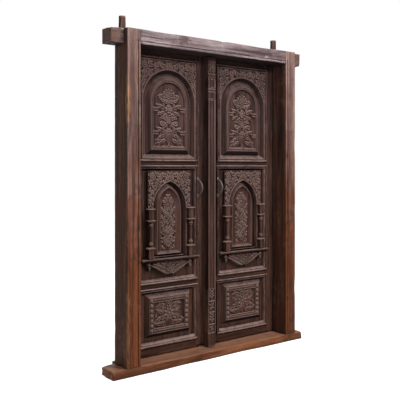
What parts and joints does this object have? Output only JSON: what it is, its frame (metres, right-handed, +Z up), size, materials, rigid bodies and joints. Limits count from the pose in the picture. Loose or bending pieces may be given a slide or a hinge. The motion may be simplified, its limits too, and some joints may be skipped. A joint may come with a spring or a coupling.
{
  "type": "carved temple door",
  "caption": "Carved wooden double-leaf door in its frame: arched panels, pointed niches with colonnettes, raised square panels, bow handles and wooden pivots.",
  "frame": {"origin": "on the floor under the sill, midway between the jambs and midway in the frame's depth", "axes": "+X to the right seen from the front, +Y from the front to the back, +Z up"},
  "size_m": [1.775, 0.227, 2.412],
  "materials": {
    "head_wood": "matte, dusty",
    "jamb_wood": "matte, weathered",
    "sill_wood": "worn satin",
    "block_wood": "matte",
    "leaf_wood": "old dark stain",
    "moulding_wood": "old dark stain",
    "carved_wood": "dark stain, rubbed crests",
    "iron": "worn dark iron"
  },
  "bodies": {
    "frame": {"sill": "sill_wood", "head": "head_wood", "left_jamb": "jamb_wood", "right_jamb": "jamb_wood", "left_upper_pivot_block": "block_wood", "left_lower_pivot_block": "block_wood", "right_upper_pivot_block": "block_wood", "right_lower_pivot_block": "block_wood", "pivot_block_pegs": "block_wood"},
    "left_leaf": {"left_hanging_stile": "leaf_wood", "left_meeting_stile": "leaf_wood", "left_bottom_rail": "leaf_wood", "left_lock_rail": "leaf_wood", "left_frieze_rail": "leaf_wood", "left_top_rail": "leaf_wood", "left_upper_moulding": "moulding_wood", "left_middle_moulding": "moulding_wood", "left_lower_moulding": "moulding_wood", "left_arch_panel": "carved_wood", "left_arch_frame": "carved_wood", "left_niche_board": "leaf_wood", "left_niche_surround": "carved_wood", "left_niche_panel": "carved_wood", "left_outer_colonnette": "carved_wood", "left_inner_colonnette": "carved_wood", "left_shelf": "carved_wood", "left_apron": "carved_wood", "left_base_board": "leaf_wood", "left_base_block": "carved_wood", "left_handle": "iron", "cover_strip": "carved_wood"},
    "right_leaf": {"right_hanging_stile": "leaf_wood", "right_meeting_stile": "leaf_wood", "right_bottom_rail": "leaf_wood", "right_lock_rail": "leaf_wood", "right_frieze_rail": "leaf_wood", "right_top_rail": "leaf_wood", "right_upper_moulding": "moulding_wood", "right_middle_moulding": "moulding_wood", "right_lower_moulding": "moulding_wood", "right_arch_panel": "carved_wood", "right_arch_frame": "carved_wood", "right_niche_board": "leaf_wood", "right_niche_surround": "carved_wood", "right_niche_panel": "carved_wood", "right_outer_colonnette": "carved_wood", "right_inner_colonnette": "carved_wood", "right_shelf": "carved_wood", "right_apron": "carved_wood", "right_base_board": "leaf_wood", "right_base_block": "carved_wood", "right_handle": "iron"}
  },
  "joints": [
    {"name": "left_leaf_swing", "type": "hinge", "parent": "frame", "child": "left_leaf", "pos_m": [-0.714, 0.0985, 0.066], "axis": [0, 0, 1], "range_deg": [0, 100]},
    {"name": "right_leaf_swing", "type": "hinge", "parent": "frame", "child": "right_leaf", "pos_m": [0.714, 0.0985, 0.066], "axis": [0, 0, -1], "range_deg": [0, 100]}
  ]
}
